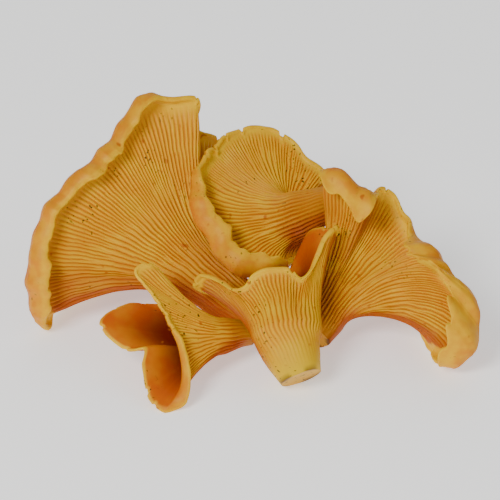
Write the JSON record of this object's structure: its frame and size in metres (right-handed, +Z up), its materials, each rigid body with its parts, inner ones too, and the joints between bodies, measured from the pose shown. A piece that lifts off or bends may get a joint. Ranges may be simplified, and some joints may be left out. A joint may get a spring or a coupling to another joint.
{
  "type": "heap of chanterelle mushrooms",
  "caption": "Heap of picked chanterelle mushrooms lying on a table: wavy funnel caps with forking ridges and rolled margins on short stems.",
  "frame": {"origin": "middle of the heap's footprint, at the level of the table", "axes": "+X to the right and -Y towards the eye as in the picture, +Z up"},
  "size_m": [0.1438, 0.0972, 0.0692],
  "materials": {
    "mushroom_flesh": "matte"
  },
  "bodies": {
    "root": {"wide_fan_chanterelle": "mushroom_flesh", "middle_chanterelle": "mushroom_flesh", "right_chanterelle": "mushroom_flesh", "front_chanterelle": "mushroom_flesh", "small_trumpet_chanterelle": "mushroom_flesh"}
  },
  "joints": []
}
